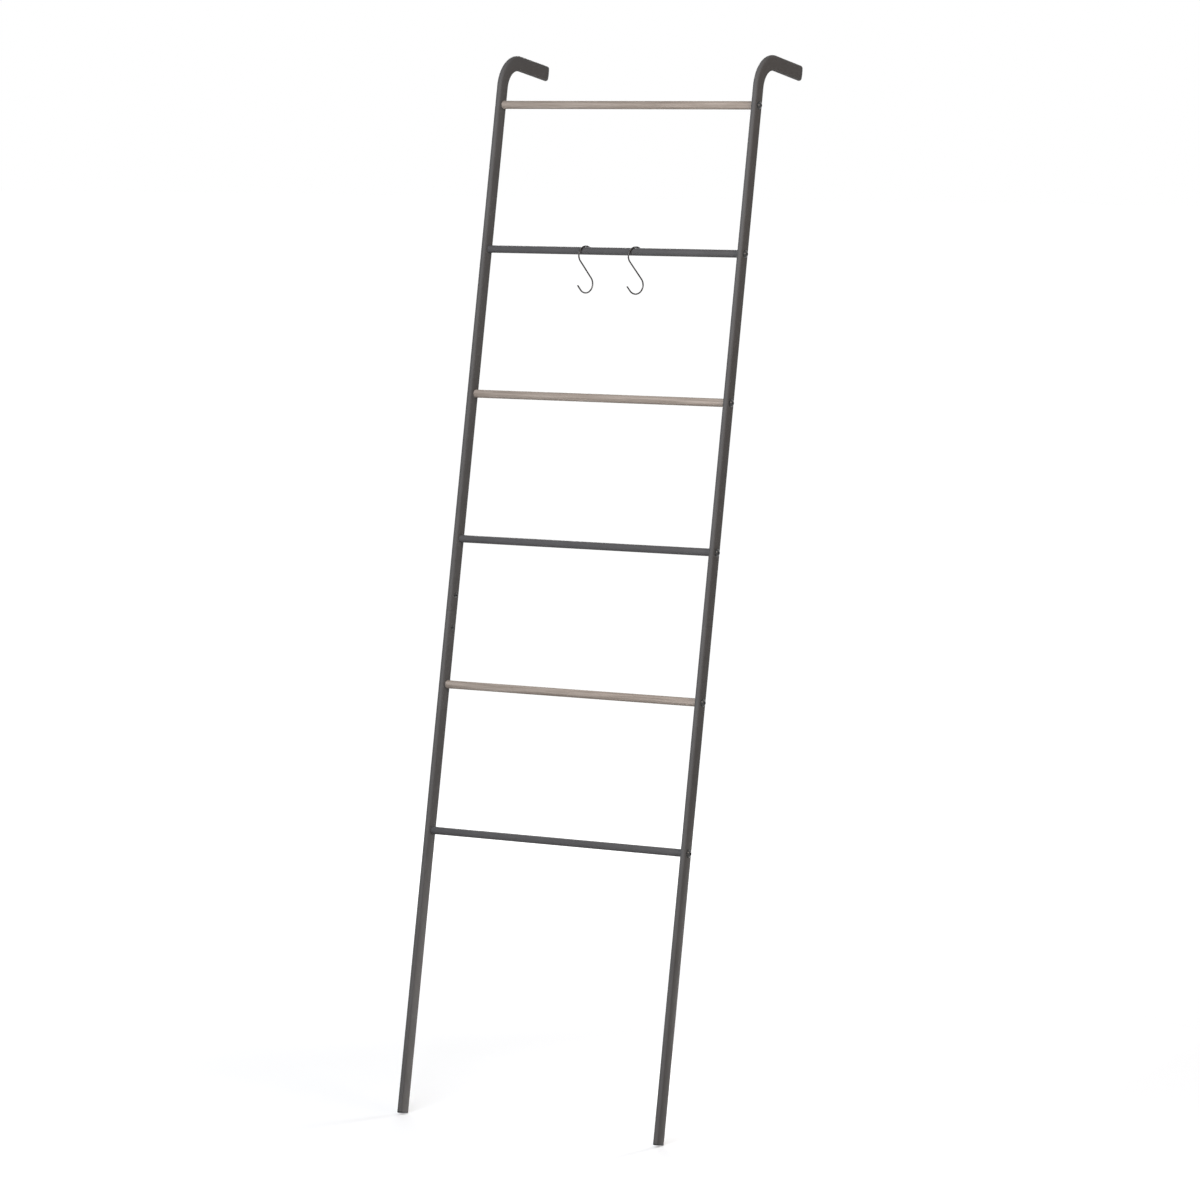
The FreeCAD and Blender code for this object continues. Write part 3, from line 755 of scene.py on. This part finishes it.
def white_floor():
    """A pale floor that is seen as white and keeps the ladder's shadow."""
    bm = bmesh.new()
    bmesh.ops.create_grid(bm, x_segments=1, y_segments=1, size=FLOOR_HALF)
    mesh = bpy.data.meshes.new("floor")
    bm.to_mesh(mesh)
    bm.free()
    mesh.materials.append(floor_look())
    floor = bpy.data.objects.new("floor", mesh)
    bpy.context.scene.collection.objects.link(floor)


def studio_world():
    """White to the eye and in gloss, and a lower soft light for the object."""
    world = bpy.data.worlds.new("studio")
    bpy.context.scene.world = world
    world.use_nodes = True
    tree = world.node_tree
    background = tree.nodes["Background"]
    background.inputs["Color"].default_value = (1, 1, 1, 1)
    level = spread(tree, seen_rays(tree), low=WORLD_LIGHT, high=1.0, start=0.0, end=1.0)
    connect(tree, background, Strength=level)


def from_camera(right, up):
    """Direction from the ladder, turned to the camera's right and up from the floor, in degrees."""
    turn = math.radians(CAMERA_TURN + right)
    rise = math.radians(up)
    return Vector((math.sin(turn) * math.cos(rise), -math.cos(turn) * math.cos(rise), math.sin(rise)))


def softbox(name, aim, right, up, distance, size, power, colour, beam=180):
    """A square lamp that faces a point, with a grid that narrows its beam."""
    data = bpy.data.lights.new(name, "AREA")
    data.shape = "SQUARE"
    data.size = size
    data.energy = power
    data.color = colour
    data.spread = math.radians(beam)
    lamp = bpy.data.objects.new(name, data)
    lamp.visible_camera = False
    way = from_camera(right, up)
    lamp.location = aim + way * distance
    lamp.rotation_euler = way.to_track_quat("Z", "Y").to_euler()
    bpy.context.scene.collection.objects.link(lamp)


def studio_lamps():
    """A cool main lamp, a warm one to its right, one behind and a low narrow one behind on the right."""
    softbox(
        "front_softbox",
        LADDER_MIDDLE,
        right=-20,
        up=26,
        distance=3.3,
        size=1.7,
        power=112,
        colour=(0.89, 0.935, 1.0),
    )
    softbox(
        "side_softbox",
        LADDER_MIDDLE,
        right=38,
        up=22,
        distance=3.0,
        size=1.0,
        power=24,
        colour=(1.0, 0.84, 0.72),
    )
    softbox(
        "back_softbox",
        LADDER_MIDDLE,
        right=186,
        up=18,
        distance=3.3,
        size=1.7,
        power=60,
        colour=(1.0, 1.0, 1.0),
    )
    softbox(
        "low_softbox",
        LADDER_FOOT - LOW_LAMP_DROP,
        right=132,
        up=15.5,
        distance=1.6,
        size=0.35,
        power=3.5,
        colour=(1.0, 0.98, 0.96),
        beam=50,
    )


# The ladder and its studio

looks = {
    "rail_coat": powder_coat("rail_coat", RAIL_GREY),
    "rung_coat": powder_coat("rung_coat", RUNG_GREY),
    "rung_wood": stained_wood("rung_wood"),
    "cap_plastic": moulded_plastic("cap_plastic"),
    "fastener": black_fastener("fastener"),
    "hook_wire": plated_metal("hook_wire", WIRE_BLACK, rough=0.2),
    "inner_steel": plated_metal("inner_steel", BARE_STEEL, rough=0.4),
    "insert_brass": plated_metal("insert_brass", BRASS, rough=0.32),
}

# CAD nodes that stay inside the ladder keep their shape and take a finish.
for name, node in frame["nodes"].items():
    node.data.materials.clear()
    node.data.materials.append(looks[slots[name]])

for side, sign in SIDES:
    lower_rail(side, sign)
    upper_rail(side, sign)
    foot_cap(side, sign)
    arm_cap(side, sign)
    hook(side)
    for end in ("lower", "upper"):
        joint_screw(side, sign, end)
    for number in range(1, RUNG_COUNT + 1):
        rung_bolt(side, sign, number)
for number in range(1, RUNG_COUNT + 1, 2):
    steel_rung(number)
    wood_rung(number + 1)

photo_camera()
white_floor()
studio_world()
studio_lamps()
bpy.context.scene.view_settings.view_transform = "Standard"
